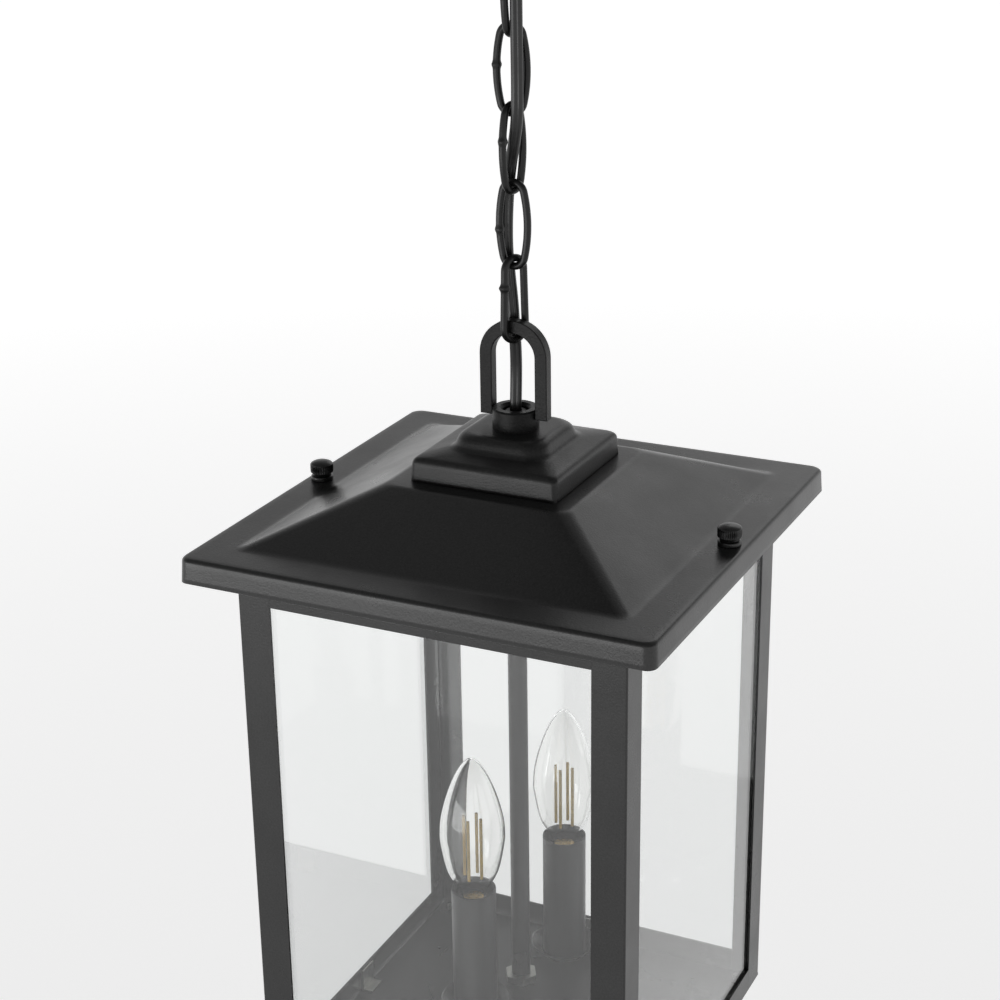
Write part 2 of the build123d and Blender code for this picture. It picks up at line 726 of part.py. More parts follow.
post_corners = {
    "front_left": (-1, -1),
    "front_right": (1, -1),
    "rear_right": (1, 1),
    "rear_left": (-1, 1),
}
for name, (sx, sy) in post_corners.items():
    with BuildPart() as post:
        outer_x, outer_y = sx * CAGE_HALF, sy * CAGE_HALF
        with BuildSketch(Plane.XY.offset(level(ledge_top))):
            with Locations((outer_x - sx * POST_LEG / 2, outer_y - sy * POST_SHEET / 2)):
                Rectangle(POST_LEG, POST_SHEET)
            with Locations((outer_x - sx * POST_SHEET / 2, outer_y - sy * POST_LEG / 2)):
                Rectangle(POST_SHEET, POST_LEG)
        extrude(amount=flange_under - ledge_top)
        outer_edge = post.edges().filter_by(Axis.Z).sort_by(
            lambda edge: -(sx * edge.center().X + sy * edge.center().Y)
        )[0]
        fillet(outer_edge, 1.0)
    save(post, f"post_{name}")

pane_low = ledge_top + 0.2
pane_high = flange_under - 1.4
pane_middle = CAGE_HALF - POST_SHEET - GLASS_SEAT - GLASS / 2
pane_sides = {"rear": 0, "left": 1, "front": 2, "right": 3}
for name, quarter in pane_sides.items():
    with BuildPart() as pane:
        with BuildSketch(Plane.XY.rotated((0, 0, 90 * quarter)).offset(level(pane_low))):
            with Locations((0, pane_middle)):
                Rectangle(GLASS_WIDTH, GLASS)
        extrude(amount=pane_high - pane_low)
    save(pane, f"glass_{name}")

# an L-shaped clip at the middle of each pane's lower and upper edge
CLIP_SHEET = 0.8
CLIP_WIDTH = 12.0
CLIP_FOOT = 6.0
CLIP_HEIGHT = 13.0
with BuildPart() as glass_clips:
    clip_face = pane_middle - GLASS / 2 - 0.2
    for quarter in range(4):
        for seat, way in ((ledge_top, 1), (flange_under, -1)):
            side_plane = Plane.XY.rotated((0, 0, 90 * quarter)).offset(level(seat))
            with BuildSketch(side_plane):
                with Locations((0, clip_face - CLIP_FOOT / 2)):
                    Rectangle(CLIP_WIDTH, CLIP_FOOT)
            extrude(amount=way * CLIP_SHEET)
            with BuildSketch(side_plane):
                with Locations((0, clip_face - CLIP_SHEET / 2)):
                    Rectangle(CLIP_WIDTH, CLIP_SHEET)
            extrude(amount=way * CLIP_HEIGHT)
save(glass_clips, "glass_clips")

BASE_HALF = 96.5
SCREW_SPACING = 184.0
with BuildPart() as base_plate:
    with BuildSketch(Plane.XY.offset(level(ledge_top))):
        Rectangle(2 * 91.0, 2 * 91.0)
        with GridLocations(SCREW_SPACING, SCREW_SPACING, 2, 2):
            Rectangle(9.0, 9.0)
        with GridLocations(SCREW_SPACING, SCREW_SPACING, 2, 2):
            Circle(1.7, mode=Mode.SUBTRACT)
        with PolarLocations(30.0, 8):
            Circle(3.0, mode=Mode.SUBTRACT)
    extrude(amount=POST_SHEET)
save(base_plate, "base_plate")

with BuildPart() as base_screws:
    with BuildSketch(Plane.XY.offset(level(CAGE_FOOT))):
        with GridLocations(SCREW_SPACING, SCREW_SPACING, 2, 2):
            Circle(3.0)
    extrude(amount=-1.6)
    with BuildSketch(Plane.XY.offset(level(CAGE_FOOT))):
        with GridLocations(SCREW_SPACING, SCREW_SPACING, 2, 2):
            Circle(1.6)
    extrude(amount=5.0)
save(base_screws, "base_screws")

with BuildPart() as studs:
    with BuildSketch(Plane.XY.offset(level(FLANGE_TOP))):
        with GridLocations(2 * KNOB_OUT, 1, 2, 1):
            Circle(STUD_R)
    extrude(amount=STUD_TOP - FLANGE_TOP)
save(studs, "cage_studs")

# ---------------------------------------------------------------- knobs
WASHER_SEAT = RIM_DEPTH + 0.1
WASHER_TOP = 15.0
KNOB_FOOT = WASHER_TOP + 0.1
KNOB_TOP = 23.2
for name, side in (("left", -1), ("right", 1)):
    place = (side * KNOB_OUT, 0)
    with BuildPart() as washer:
        washer_outline = [
            (STUD_R + 0.3, WASHER_SEAT),
            (5.9, WASHER_SEAT),
            (5.9, WASHER_TOP - 0.5),
            (5.4, WASHER_TOP),
            (STUD_R + 0.3, WASHER_TOP),
        ]
        add(round_piece([(r, level(height)) for r, height in washer_outline], place))
    save(washer, f"knob_washer_{name}")
    with BuildPart() as knob:
        knob_outline = [
            (STUD_R + 0.08, KNOB_FOOT),
            (5.0, KNOB_FOOT),
            (5.0, KNOB_FOOT + 1.2),
            (6.1, KNOB_FOOT + 1.8),
            (6.1, KNOB_TOP - 1.6),
            (5.2, KNOB_TOP - 0.7),
            (3.0, KNOB_TOP - 0.15),
            (0, KNOB_TOP),
            (0, STUD_TOP + 0.6),
            (STUD_R + 0.08, STUD_TOP + 0.6),
        ]
        add(round_piece([(r, level(height)) for r, height in knob_outline], place))
    save(knob, f"knob_{name}")
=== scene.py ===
import json
import math

import bpy
from mathutils import Matrix, Vector


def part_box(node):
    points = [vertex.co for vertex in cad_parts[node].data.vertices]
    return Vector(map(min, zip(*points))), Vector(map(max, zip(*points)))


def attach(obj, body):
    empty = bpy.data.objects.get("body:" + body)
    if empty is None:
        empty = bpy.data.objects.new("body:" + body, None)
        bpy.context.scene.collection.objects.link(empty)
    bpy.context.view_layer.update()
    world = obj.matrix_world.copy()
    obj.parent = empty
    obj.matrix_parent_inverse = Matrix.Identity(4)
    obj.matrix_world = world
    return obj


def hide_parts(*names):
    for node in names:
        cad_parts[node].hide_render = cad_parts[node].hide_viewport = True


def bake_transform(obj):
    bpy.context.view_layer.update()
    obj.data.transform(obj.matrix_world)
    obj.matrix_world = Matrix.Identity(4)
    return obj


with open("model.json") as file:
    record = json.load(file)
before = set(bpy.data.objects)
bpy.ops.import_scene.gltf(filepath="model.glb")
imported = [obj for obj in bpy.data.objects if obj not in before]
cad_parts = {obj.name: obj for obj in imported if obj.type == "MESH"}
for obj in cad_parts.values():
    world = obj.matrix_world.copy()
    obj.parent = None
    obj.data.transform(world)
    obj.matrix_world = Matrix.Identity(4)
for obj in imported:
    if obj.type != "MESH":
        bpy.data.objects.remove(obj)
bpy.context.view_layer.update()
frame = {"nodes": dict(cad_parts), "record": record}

# A square hanging lantern of black powder-coated sheet with clear panes.  Everything is in metres in
# the CAD's frame: the ceiling is Z = 0, +X runs along the lantern's front and +Y to its back.
# Heights inside the lantern are in millimetres above the roof's lower edge, as in the CAD source.

MM = 0.001
RIM_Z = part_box("roof")[0].z
NODES = frame["nodes"]


def at(x, y, height):
    """A point in metres from millimetres in plan and a height above the roof's lower edge."""
    return Vector((x * MM, y * MM, RIM_Z + height * MM))


# ---------------------------------------------------------------- materials
def new_material(name):
    made = bpy.data.materials.new(name)
    made.use_nodes = True
    tree = made.node_tree
    shader = next(n for n in tree.nodes if n.type == "BSDF_PRINCIPLED")
    place = tree.nodes.new("ShaderNodeTexCoord")
    return made, tree, shader, place.outputs["Object"]


def noise(tree, where, scale, detail=3.0, roughness=0.5):
    node = tree.nodes.new("ShaderNodeTexNoise")
    node.inputs["Scale"].default_value = scale
    node.inputs["Detail"].default_value = detail
    node.inputs["Roughness"].default_value = roughness
    tree.links.new(where, node.inputs["Vector"])
    return node.outputs["Fac"]


def ramp(tree, value, stops):
    """A colour ramp; each stop is (position, grey or colour)."""
    node = tree.nodes.new("ShaderNodeValToRGB")
    elements = node.color_ramp.elements
    while len(elements) < len(stops):
        elements.new(0.5)
    for element, (position, colour) in zip(elements, stops):
        rgb = (colour,) * 3 if isinstance(colour, float) else colour
        element.position = position
        element.color = (*rgb, 1.0)
    tree.links.new(value, node.inputs["Fac"])
    return node.outputs["Color"]


def bump(tree, shader, height, strength, distance, below=None):
    node = tree.nodes.new("ShaderNodeBump")
    node.inputs["Strength"].default_value = strength
    node.inputs["Distance"].default_value = distance
    tree.links.new(height, node.inputs["Height"])
    if below is not None:
        tree.links.new(below, node.inputs["Normal"])
    tree.links.new(node.outputs["Normal"], shader.inputs["Normal"])
    return node.outputs["Normal"]


def coated(name, dark, light, rough_low, rough_high, grain, grain_depth, wave=0.25, gloss=0.5):
    """Sprayed or powder coating: a fine grain over a faint unevenness, with a mottled gloss."""
    made, tree, shader, where = new_material(name)
    shader.inputs["Specular IOR Level"].default_value = gloss
    patches = noise(tree, where, 38.0, 4.0)
    fine = noise(tree, where, grain, 2.0, 0.6)
    tree.links.new(ramp(tree, fine, [(0.3, dark), (0.72, light)]), shader.inputs["Base Color"])
    tree.links.new(ramp(tree, patches, [(0.3, rough_low), (0.7, rough_high)]), shader.inputs["Roughness"])
    soft = bump(tree, shader, noise(tree, where, grain * 0.16, 2.0), wave, 0.00012)
    bump(tree, shader, fine, 0.55, grain_depth, soft)
    return made


def metal(name, colour, rough, scratch_scale=420.0):
    made, tree, shader, where = new_material(name)
    shader.inputs["Metallic"].default_value = 1.0
    cloud = noise(tree, where, 160.0, 4.0)
    darker = tuple(0.72 * c for c in colour)
    tree.links.new(ramp(tree, cloud, [(0.3, darker), (0.7, colour)]), shader.inputs["Base Color"])
    streaks = noise(tree, where, scratch_scale, 4.0, 0.7)
    worn = ramp(tree, streaks, [(0.3, rough * 0.8), (0.7, rough * 1.25)])
    tree.links.new(worn, shader.inputs["Roughness"])
    bump(tree, shader, streaks, 0.2, 0.00005)
    return made


def plastic(name, colour, rough, grain=700.0):
    made, tree, shader, where = new_material(name)
    cloud = noise(tree, where, 60.0, 3.0)
    darker = tuple(0.8 * c for c in colour)
    tree.links.new(ramp(tree, cloud, [(0.35, darker), (0.65, colour)]), shader.inputs["Base Color"])
    speck = noise(tree, where, grain, 2.0)
    tree.links.new(ramp(tree, speck, [(0.3, rough * 0.85), (0.7, rough * 1.15)]), shader.inputs["Roughness"])
    bump(tree, shader, speck, 0.15, 0.00004)
    return made


def glass(name, tint, ripple, ior=1.5):
    made, tree, shader, where = new_material(name)
    shader.inputs["Transmission Weight"].default_value = 1.0
    shader.inputs["IOR"].default_value = ior
    shader.inputs["Roughness"].default_value = 0.0
    cloud = noise(tree, where, 6.0, 1.0)
    paler = tuple(min(1.0, c * 1.01) for c in tint)
    tree.links.new(ramp(tree, cloud, [(0.3, tint), (0.7, paler)]), shader.inputs["Base Color"])
    bump(tree, shader, noise(tree, where, 12.0, 1.0), ripple, 0.0004)
    return made


LOOK = {
    "satin_black": coated("powder_coat_black", 0.0045, 0.0150, 0.26, 0.34, 1000.0, 0.00013, 0.2),
    "black_chain": coated("chain_black", 0.003, 0.007, 0.24, 0.36, 900.0, 0.00008, 0.5, 0.32),
    "knob_black": coated("knob_black", 0.003, 0.007, 0.24, 0.34, 1200.0, 0.00005),
    "black_cord": coated("cord_black", 0.004, 0.008, 0.26, 0.34, 500.0, 0.00006, 0.4),
    "zinc_steel": metal("zinc_plate", (0.62, 0.62, 0.58), 0.34),
    "ground_green": coated("green_screw", (0.02, 0.16, 0.05), (0.03, 0.24, 0.08), 0.3, 0.4, 900.0, 0.00004),
    "brass": metal("brass", (0.78, 0.56, 0.24), 0.26),
    "lead_insulation": plastic("lead_insulation", (0.02, 0.02, 0.02), 0.42),
    "connector_plastic": plastic("connector_orange", (0.72, 0.20, 0.03), 0.38),
    "bushing_plastic": plastic("bushing_black", (0.012, 0.012, 0.012), 0.4),
    "black_sleeve": plastic("sleeve_black", (0.018, 0.018, 0.019), 0.36),
    "socket_phenolic": plastic("socket_phenolic", (0.03, 0.022, 0.018), 0.3),
    "clear_glass": glass("pane_glass", (0.985, 0.995, 0.99), 0.02, 1.7),
    "bulb_glass": glass("bulb_glass", (0.99, 0.99, 0.985), 0.04, 1.45),
    "filament": plastic("filament_phosphor", (0.90, 0.62, 0.16), 0.5),
}

CAST_BLACK = coated("cast_black", 0.0028, 0.010, 0.30, 0.40, 1100.0, 0.00026, 0.4, 0.19)
CAP_BLACK = coated("cap_black", 0.004, 0.0125, 0.30, 0.38, 1000.0, 0.00018, 0.3, 0.36)
slots = {row["node"]: row["material_slot"] for row in frame["record"]["subparts"]}


def paint(obj, material):
    obj.data.materials.clear()
    obj.data.materials.append(material)


def dress(obj, slot_name):
    paint(obj, LOOK[slot_name])


for node_name, node in NODES.items():
    dress(node, slots[node_name])
    node.data.shade_smooth()
    node.data.set_sharp_from_angle(angle=math.radians(32))


BEVELLED = {
    "yoke": 0.35, "top_frame": 0.35, "bottom_frame": 0.35, "base_plate": 0.3, "canopy": 0.3,
    "post_front_left": 0.45, "post_front_right": 0.45, "post_rear_left": 0.45, "post_rear_right": 0.45,
}
for node_name, width in BEVELLED.items():
    soften = NODES[node_name].modifiers.new("soft_edges", "BEVEL")
    soften.width = width * MM
    soften.segments = 2
    soften.limit_method = "ANGLE"
    soften.angle_limit = math.radians(50)
    soften.harden_normals = True

for node_name in ("yoke", "collar"):
    paint(NODES[node_name], CAST_BLACK)

# ---------------------------------------------------------------- mesh helpers
def signed_volume(verts, faces):
    total = 0.0
    for face in faces:
        for a, b in zip(face[1:], face[2:]):
            total += verts[face[0]].dot(verts[a].cross(verts[b]))
    return total / 6


def make_piece(name, verts, faces, body, node_names=(), sharp=40.0):
    """A piece that rides on a body, stands for its CAD nodes and takes their material slot."""
    if signed_volume(verts, faces) < 0:
        faces = [tuple(reversed(face)) for face in faces]
    mesh = bpy.data.meshes.new(name)
    mesh.from_pydata([tuple(v) for v in verts], [], faces)
    mesh.validate()
    mesh.update()
    obj = bpy.data.objects.new(name, mesh)
    bpy.context.scene.collection.objects.link(obj)
    mesh.shade_smooth()
    mesh.set_sharp_from_angle(angle=math.radians(sharp))
    if node_names:
        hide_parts(*node_names)
        dress(obj, slots[node_names[0]])
    if body:
        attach(obj, body)
    return obj


def loop_faces(rows, row_length, closed_rows=False):
    """Quads between successive rings of points."""
    faces = []
    pairs = rows if closed_rows else rows - 1
    for row in range(pairs):
        following = (row + 1) % rows
        for k in range(row_length):
            n = (k + 1) % row_length
            near, far = row * row_length, following * row_length
            faces.append((near + k, near + n, far + n, far + k))
    return faces


def rounded(points, radii, steps=6):
    """A polyline with an arc at each inner corner."""
    out = [points[0]]
    for (ax, ay), (bx, by), (cx, cy), radius in zip(points, points[1:], points[2:], radii):
        u = Vector((ax - bx, ay - by)).normalized()
        v = Vector((cx - bx, cy - by)).normalized()
        half = u.angle(v) / 2
        if radius <= 0:
            out.append((bx, by))
            continue
        back = radius / math.tan(half)
        corner = Vector((bx, by))
        centre = corner + (u + v).normalized() * radius / math.sin(half)
        start, end = corner + u * back - centre, corner + v * back - centre
        swing = start.angle_signed(end)
        for k in range(steps + 1):
            turned = start.copy()
            turned.rotate(Matrix.Rotation(-swing * k / steps, 2))
            out.append(tuple(centre + turned))
    out.append(points[-1])
    return out


def offset(points, by):
    """The polyline moved sideways: to the right of its direction where by is positive."""
    moved = []
    for k, (x, y) in enumerate(points):
        before = points[max(k - 1, 0)]
        after = points[min(k + 1, len(points) - 1)]
        first = Vector((x - before[0], y - before[1]))
        second = Vector((after[0] - x, after[1] - y))
        first = first.normalized() if first.length > 1e-6 else second.normalized()
        second = second.normalized() if second.length > 1e-6 else first
        mean = (first + second).normalized()
        stretch = 1 / max(0.3, mean.dot(first))
        moved.append((x + mean.y * by * stretch, y - mean.x * by * stretch))
    return moved


RING_ARC, RING_EDGE = 8, 10
RING_POINTS = 4 * (RING_ARC + RING_EDGE)


def square_ring(half, corner, height):
    """A square loop of RING_POINTS points with rounded corners."""
    corner = min(corner, half)
    points = []
    for quarter in range(4):
        turn = math.pi / 2 * quarter
        for k in range(RING_ARC + 1):
            angle = math.pi / 2 * k / RING_ARC
            x = half - corner + corner * math.cos(angle)
            y = half - corner + corner * math.sin(angle)
            points.append((x, y, turn))
        for k in range(1, RING_EDGE):
            share = k / RING_EDGE
            x = (half - corner) * (1 - 2 * share)
            points.append((x, half, turn))
    ring = []
    for x, y, turn in points:
        c, s = math.cos(turn), math.sin(turn)
        ring.append(at(x * c - y * s, x * s + y * c, height))
    return ring


def stepped(stations, value):
    """Linear interpolation in a list of (key, value) with falling keys."""
    for (k0, v0), (k1, v1) in zip(stations, stations[1:]):
        if value >= k1:
            share = 0 if k0 == k1 else (k0 - value) / (k0 - k1)
            return v0 + (v1 - v0) * min(max(share, 0), 1)
    return stations[-1][1]


def square_shell(name, outline, radii, sheet, corners, body, nodes, refine=2.5):
    """A pressed square shell with rounded hips.

    outline is its upper side as (half width, height), from the rim inwards, and sheet its thickness.
    corners gives the corner radius in plan at falling half widths.
    """
    outer = rounded(outline, radii)
    dense = [outer[0]]
    for a, b in zip(outer, outer[1:]):
        length = math.dist(a, b)
        parts = max(1, min(8, int(length / refine)))
        for k in range(1, parts + 1):
            dense.append((a[0] + (b[0] - a[0]) * k / parts, a[1] + (b[1] - a[1]) * k / parts))
    inner = offset(dense, -sheet)
    inner[0] = (dense[0][0] - sheet, dense[0][1])
    inner[-1] = (dense[-1][0], inner[-1][1])
    verts = []
    lip = 0.25 * sheet
    tail = [(inner[0][0] + lip, inner[0][1]), (dense[0][0] - lip, dense[0][1])]
    first = (dense[0][0], dense[0][1] + lip)
    inner_first = (inner[0][0], inner[0][1] + lip)
    profile = [first] + dense[1:] + inner[:0:-1] + [inner_first] + tail
    count_outer = len(dense)
    for k, (half, height) in enumerate(profile):
        plan = stepped(corners, half)
        if k >= count_outer:
            plan = max(plan - sheet, 0.4)
        if half <= outline[-1][0] + 1e-6:
            plan = half
        verts += square_ring(half, plan, height)
    faces = loop_faces(len(profile), RING_POINTS, closed_rows=True)
    return make_piece(name, verts, faces, body, nodes, 50)


def lathe(name, outline, centre, body, nodes, segments=96, closed=True, ribs=None, sharp=35.0):
    """A turned piece about a vertical axis; outline is (radius, height) and ribs shapes the radius."""
    verts = []
    for k, (radius, height) in enumerate(outline):
        for s in range(segments):
            angle = 2 * math.pi * s / segments
            r = radius if ribs is None else ribs(k, radius, s)
            verts.append(at(centre[0] + r * math.cos(angle), centre[1] + r * math.sin(angle), height))
    faces = loop_faces(len(outline), segments, closed_rows=closed)
    if not closed:
        faces.append(tuple(range(segments))[::-1])
        faces.append(tuple(range((len(outline) - 1) * segments, len(outline) * segments)))
    return make_piece(name, verts, faces, body, nodes, sharp)


def tube_frames(path, side_hint):
    """Tangent, side and up vectors along a path, with the side kept near a fixed direction."""
    frames = []
    for k, p in enumerate(path):
        a, b = path[max(k - 1, 0)], path[min(k + 1, len(path) - 1)]
        tangent = (b - a).normalized()
        side = (side_hint - tangent * side_hint.dot(tangent)).normalized()
        frames.append((tangent, side, tangent.cross(side)))
    return frames


# ---------------------------------------------------------------- roof and cap
STUDS = 115.0
roof_outline = [(125.0, 0.0), (124.3, 12.7), (103.2, 12.7), (50.0, 36.5), (5.5, 36.5)]
square_shell(
    "roof_sheet", roof_outline, [2.2, 12.0, 9.0], 0.9,
    [(125.0, 6.0), (108.0, 6.0), (103.0, 5.0), (52.0, 7.0), (40.0, 7.0)],
    "roof", ["roof"],
)
cap_outline = [(40.3, 36.5), (39.6, 48.4), (26.0, 50.8), (23.6, 58.1), (5.5, 58.1)]
cap_piece = square_shell(
    "cap_sheet", cap_outline, [3.6, 3.8, 5.2], 1.2,
    [(40.3, 3.0), (38.6, 3.4), (35.0, 8.0), (28.0, 10.5), (15.0, 11.0)],
    "roof", ["roof_cap"], 1.5,
)
paint(cap_piece, CAP_BLACK)

# ---------------------------------------------------------------- supply cord
# One route through the chain, in metres, cut into a length for each joint it crosses.
CORD_ROUTE = [
    (0.0, 0.0, -0.2832),
    (0.0003, 0.0005, -0.2665),
    (-0.0013, 0.0039, -0.254),
    (-0.0036, 0.0071, -0.2422),
    (-0.0044, 0.0074, -0.23),
    (-0.0053, 0.0062, -0.2162),
    (-0.0062, 0.0053, -0.202),
    (-0.006, 0.0052, -0.1858),
    (-0.0052, 0.0058, -0.1709),
    (-0.0027, 0.0033, -0.1593),
    (0.0011, -0.0006, -0.1482),
    (0.0048, -0.0047, -0.1355),
    (0.0054, -0.0055, -0.1197),
    (0.0052, -0.0052, -0.1024),
    (0.0053, -0.0056, -0.0867),
    (0.0059, -0.0068, -0.0711),
    (0.0053, -0.0058, -0.0549),
    (0.0, 0.0, -0.0385),
    (0.0, 0.0, -0.01),
]
CORE_R, CORE_APART = 0.0019, 0.0022
LINK_PITCH = 37.5
LINK_MIDDLES = [124.4 + LINK_PITCH * k for k in range(5)]


def route_points(name, points, resolution):
    """The points of the NURBS spline that has these control points."""
    curve = bpy.data.curves.new(name, "CURVE")
    curve.dimensions = "3D"
    spline = curve.splines.new("NURBS")
    spline.points.add(len(points) - 1)
    for point, place in zip(spline.points, points):
        point.co = (*place, 1.0)
    spline.order_u = 3
    spline.use_endpoint_u = True
    spline.resolution_u = resolution
    holder = bpy.data.objects.new(name, curve)
    bpy.context.scene.collection.objects.link(holder)
    bpy.context.view_layer.update()
    line = bpy.data.meshes.new_from_object(holder)
    places = [v.co.copy() for v in line.vertices]
    bpy.data.objects.remove(holder)
    bpy.data.curves.remove(curve)
    bpy.data.meshes.remove(line)
    return places


def twin_section(steps=28):
    """Two round cores side by side under one skin."""
    section = []
    for k in range(steps):
        angle = 2 * math.pi * k / steps
        half = CORE_APART / 2
        reach = half * abs(math.cos(angle)) + math.sqrt(CORE_R**2 - (half * math.sin(angle)) ** 2)
        section.append((reach * math.cos(angle), reach * math.sin(angle)))
    return section


cord_line = route_points("cord_route", CORD_ROUTE, 14)
CORD_SIDE_TURN = math.radians(25.885)
cord_side = Vector((math.cos(CORD_SIDE_TURN), math.sin(CORD_SIDE_TURN), 0))
cord_frames = tube_frames(cord_line, cord_side)
cord_cuts = [0]
for middle in LINK_MIDDLES:
    cord_cuts.append(min(range(len(cord_line)), key=lambda k: abs(cord_line[k].z - at(0, 0, middle).z)))
cord_cuts.append(len(cord_line) - 1)
section = twin_section()
for part, (first, last) in enumerate(zip(cord_cuts, cord_cuts[1:])):
    line = cord_line[first:last + 1]
    verts = []
    for p, (_, side, up) in zip(line, cord_frames[first:last + 1]):
        verts += [p + side * u + up * v for u, v in section]
    faces = loop_faces(len(line), len(section))
    faces.append(tuple(range(len(section)))[::-1])
    faces.append(tuple(range((len(line) - 1) * len(section), len(line) * len(section))))
    nodes = ["supply_cord"] if part == 0 else []
    piece = make_piece(f"cord_length_{part + 1}", verts, faces, None, nodes, 60)
    dress(piece, "black_cord")
    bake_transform(piece)


# ---------------------------------------------------------------- chain
WIRE_R = 1.9
LINK_HALF = 20.8
LINK_TURNS = [65.0, 0.0, 75.0, 8.0, 90.0]
SIDE_STEPS = 40
LOWEST_FOOT_R, LOWEST_TOP_R = 6.8, 6.0
OVAL_HALF_WIDTH, OVAL_END_R = 7.5, 5.8


def arc(centre_u, centre_v, radius, start, size, steps):
    angles = [start + size * k / steps for k in range(steps)]
    return [(centre_u + radius * math.cos(a), centre_v + radius * math.sin(a)) for a in angles]


def pear_outline(foot_r, top_r):
    foot, top = foot_r - LINK_HALF, LINK_HALF - top_r
    lean = math.asin((foot_r - top_r) / (top - foot))
    points = arc(0, foot, foot_r, math.pi - lean, math.pi + 2 * lean, 36)
    begin = (foot_r * math.cos(lean), foot + foot_r * math.sin(lean))
    finish = (top_r * math.cos(lean), top + top_r * math.sin(lean))
    rise = []
    for k in range(SIDE_STEPS):
        share = k / SIDE_STEPS
        rise.append((begin[0] + (finish[0] - begin[0]) * share, begin[1] + (finish[1] - begin[1]) * share))
    points += rise + arc(0, top, top_r, lean, math.pi - 2 * lean, 30)
    return points + [(-u, v) for u, v in reversed(rise + [finish])][:-1]


def oval_outline(half_width, end_r):
    end = LINK_HALF - end_r
    side_r = (half_width**2 + end**2 - end_r**2) / (2 * (half_width - end_r))
    side = side_r - half_width
    meet = math.atan2(end, side)
    turn = math.pi - 2 * meet
    points = arc(-side, 0, side_r, -meet, 2 * meet, 44) + arc(0, end, end_r, meet, turn, 30)
    points += arc(side, 0, side_r, math.pi - meet, 2 * meet, 44)
    return points + arc(0, -end, end_r, math.pi + meet, turn, 30)


def chain_link(number, outline, turn, weld_height, weld_size, around=26):
    """A bent wire link whose butt weld stands a little proud on its left side."""
    middle = LINK_MIDDLES[number - 1]
    across = Vector((math.cos(math.radians(turn)), math.sin(math.radians(turn)), 0))
    normal = Vector((-across.y, across.x, 0))
    count = len(outline)
    verts = []
    for k, (u, v) in enumerate(outline):
        before, after = outline[k - 1], outline[(k + 1) % count]
        along = Vector((after[0] - before[0], after[1] - before[1])).normalized()
        outward = across * along.y + Vector((0, 0, 1)) * -along.x
        seam = math.exp(-(((v - weld_height) / 1.35) ** 2)) if u < 0 else 0.0
        place = at(0, 0, middle + v) + across * u * MM
        for step in range(around):
            angle = 2 * math.pi * step / around
            lumpy = 1 + 0.18 * math.sin(3 * angle + number) + 0.1 * math.sin(5 * angle)
            radius = (WIRE_R + weld_size * seam * lumpy) * MM
            verts.append(place + outward * radius * math.cos(angle) + normal * radius * math.sin(angle))
    faces = loop_faces(count, around, closed_rows=True)
    return make_piece(f"link_{number}_wire", verts, faces, f"link_{number}", [f"chain_link_{number}"], 60)


# each link's weld: its height from the link's middle and how far it stands proud
WELDS = [(6.6, 0.85), (-3.0, 0.6), (4.0, 0.6), (2.0, 0.6), (-2.0, 0.6)]
for number, (turn, weld) in enumerate(zip(LINK_TURNS, WELDS), start=1):
    if number == 1:
        shape = pear_outline(LOWEST_FOOT_R, LOWEST_TOP_R)
    else:
        shape = oval_outline(OVAL_HALF_WIDTH, OVAL_END_R)
    chain_link(number, shape, turn, *weld)

# ---------------------------------------------------------------- knobs and bulbs
KNURLS = 40
KNURL_DEPTH = 0.42
KNOB_SEGMENTS = 240
knob_outline = [
    (2.1, 15.1), (4.8, 15.1), (5.0, 15.3), (5.0, 16.1), (5.1, 16.5), (5.6, 16.75), (5.95, 17.0),
    (6.1, 17.3), (6.1, 18.6), (6.1, 19.9), (6.1, 21.1), (6.0, 21.45), (5.7, 21.85), (5.2, 22.2),
    (4.2, 22.65), (3.0, 22.98), (1.5, 23.14), (0.05, 23.18), (0.05, 20.6), (2.1, 20.6),
]
KNURL_ROWS = range(7, 11)


def knurl(row, radius, step):
    if row not in KNURL_ROWS:
        return radius
    return radius - KNURL_DEPTH * (0.5 - 0.5 * math.cos(2 * math.pi * KNURLS * step / KNOB_SEGMENTS))


washer_outline = [
    (2.3, 12.8), (5.75, 12.8), (5.9, 12.95), (5.9, 14.5), (5.8, 14.8), (5.5, 15.0), (2.3, 15.0),
]
for side, sign in (("left", -1), ("right", 1)):
    place = (sign * STUDS, 0)
    lathe(f"knob_turned_{side}", knob_outline, place, f"knob_{side}", [f"knob_{side}"], KNOB_SEGMENTS,
          ribs=knurl, sharp=50.0)
    lathe(f"washer_turned_{side}", washer_outline, place, f"washer_{side}", [f"knob_washer_{side}"], 72)


def smooth_curve(points, steps=5):
    """A Catmull-Rom curve through the points."""
    out = []
    for k in range(len(points) - 1):
        p0, p1 = points[max(k - 1, 0)], points[k]
        p2, p3 = points[k + 1], points[min(k + 2, len(points) - 1)]
        for step in range(steps):
            t = step / steps
            place = []
            for a, b, c, d in zip(p0, p1, p2, p3):
                square, cube = 2 * a - 5 * b + 4 * c - d, 3 * b - a - 3 * c + d
                place.append(0.5 * (2 * b + (c - a) * t + square * t * t + cube * t**3))
            out.append(tuple(place))
    return out + [points[-1]]


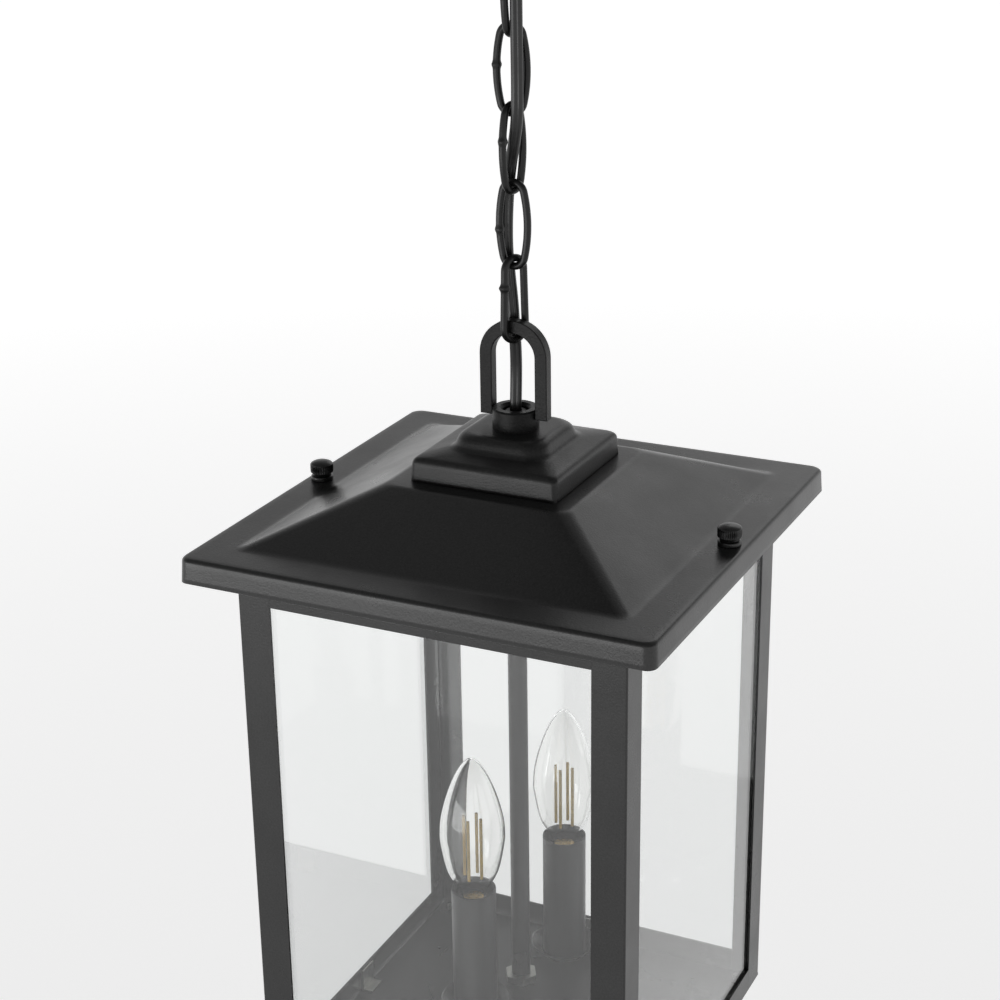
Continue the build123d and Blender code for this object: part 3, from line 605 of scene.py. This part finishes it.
BULB_WALL = 0.8
LAMP_OUT, LAMP_TURN = 37.0, math.radians(73.0)
bulb_outline = smooth_curve([
    (0.05, -115.3), (1.6, -115.55), (3.2, -116.55), (6.3, -120.5), (9.8, -127.3), (13.4, -137.1),
    (16.4, -149.0), (17.3, -157.5), (17.0, -165.0), (13.8, -181.0), (8.2, -191.5), (6.4, -197.4),
])
bulb_inner = offset(bulb_outline, BULB_WALL)
bulb_inner[0] = (0.05, bulb_inner[0][1])
bulb_inner = [(max(r, 0.05), h) for r, h in bulb_inner]
for name, sign in (("front", -1), ("rear", 1)):
    place = (sign * LAMP_OUT * math.cos(LAMP_TURN), sign * LAMP_OUT * math.sin(LAMP_TURN))
    bulb_shell = bulb_outline + bulb_inner[::-1]
    lathe(f"bulb_blown_{name}", bulb_shell, place, "roof", [f"bulb_glass_{name}"], 96, sharp=60.0)

# ---------------------------------------------------------------- camera
view_turn, view_rise, view_roll = math.radians(25.885), math.radians(21.087), math.radians(-0.858)
back = Vector((math.sin(view_turn) * math.cos(view_rise), -math.cos(view_turn) * math.cos(view_rise),
               math.sin(view_rise)))
right = Vector((math.cos(view_turn), math.sin(view_turn), 0))
up = back.cross(right)
rolled_right = right * math.cos(view_roll) + up * math.sin(view_roll)
rolled_up = up * math.cos(view_roll) - right * math.sin(view_roll)
camera_data = bpy.data.cameras.new("camera")
camera_data.sensor_width = 36.0
camera_data.lens = 74.707
camera_data.clip_start, camera_data.clip_end = 0.05, 200.0
camera = bpy.data.objects.new("camera", camera_data)
bpy.context.scene.collection.objects.link(camera)
axes = Matrix((rolled_right, rolled_up, back)).transposed().to_4x4()
camera.matrix_world = Matrix.Translation(at(424.618, -894.736, 400.157)) @ axes
bpy.context.scene.camera = camera

# ---------------------------------------------------------------- stage and light
bpy.context.scene.view_settings.view_transform = "Standard"
floor_mesh = bpy.data.meshes.new("floor")
reach, floor_z = 60.0, -2.3
# The floor's glow is dimmer near the spot under the lantern and brighter further out: a painted soft shadow
# of the lantern on the pale floor.
FLOOR_SHADOW_GLOW, FLOOR_OPEN_GLOW = 0.60, 0.82
floor_mesh.from_pydata(
    [(-reach, -reach, floor_z), (reach, -reach, floor_z), (reach, reach, floor_z), (-reach, reach, floor_z)],
    [], [(0, 1, 2, 3)],
)
floor = bpy.data.objects.new("floor", floor_mesh)
bpy.context.scene.collection.objects.link(floor)
floor_look, floor_tree, floor_shader, floor_where = new_material("pale_floor")
floor_shader.inputs["Base Color"].default_value = (0.6, 0.6, 0.6, 1)
floor_shader.inputs["Roughness"].default_value = 0.9
spread = floor_tree.nodes.new("ShaderNodeVectorMath")
spread.operation = "LENGTH"
floor_tree.links.new(floor_where, spread.inputs[0])
shadow_falloff = floor_tree.nodes.new("ShaderNodeMapRange")
shadow_falloff.inputs["From Min"].default_value = 3.0
shadow_falloff.inputs["From Max"].default_value = 8.5
floor_tree.links.new(spread.outputs["Value"], shadow_falloff.inputs["Value"])
# painted shadow: the glow rises from the near value under the lantern to the far value with distance from
# the lantern's axis
painted_shadow_glow = ramp(floor_tree, shadow_falloff.outputs["Result"], [(0.0, FLOOR_SHADOW_GLOW), (1.0, FLOOR_OPEN_GLOW)])
floor_tree.links.new(painted_shadow_glow, floor_shader.inputs["Emission Color"])
floor_shader.inputs["Emission Strength"].default_value = 1.0
floor_mesh.materials.append(floor_look)

world = bpy.data.worlds.new("studio")
bpy.context.scene.world = world
world.use_nodes = True
sky_tree = world.node_tree
sky = next(n for n in sky_tree.nodes if n.type == "BACKGROUND")
sky_place = sky_tree.nodes.new("ShaderNodeTexCoord")
split = sky_tree.nodes.new("ShaderNodeSeparateXYZ")
sky_tree.links.new(sky_place.outputs["Generated"], split.inputs["Vector"])
sky_tree.links.new(
    ramp(sky_tree, split.outputs["Z"], [(0.0, 1.0), (0.22, 0.97), (0.33, 0.52), (0.45, 0.32), (0.90, 0.22)]),
    sky.inputs["Color"],
)
sky.inputs["Strength"].default_value = 1.0


def softbox(name, place, aim, size, power):
    data = bpy.data.lights.new(name, "AREA")
    data.shape = "RECTANGLE"
    data.size, data.size_y = size
    data.energy = power
    lamp = bpy.data.objects.new(name, data)
    bpy.context.scene.collection.objects.link(lamp)
    lamp.location = place
    lamp.rotation_mode = "QUATERNION"
    lamp.rotation_quaternion = (Vector(aim) - Vector(place)).to_track_quat("-Z", "Y")
    return lamp


lantern_centre = at(0, 0, -40)
softbox("front_strip", (-1.0, -2.1, -0.72), lantern_centre, (2.4, 0.6), 15.0)
softbox("back_high", (0.0, 2.5, 1.2), lantern_centre, (1.6, 0.9), 4.5)

# ---------------------------------------------------------------- final scene update
bpy.context.view_layer.update()
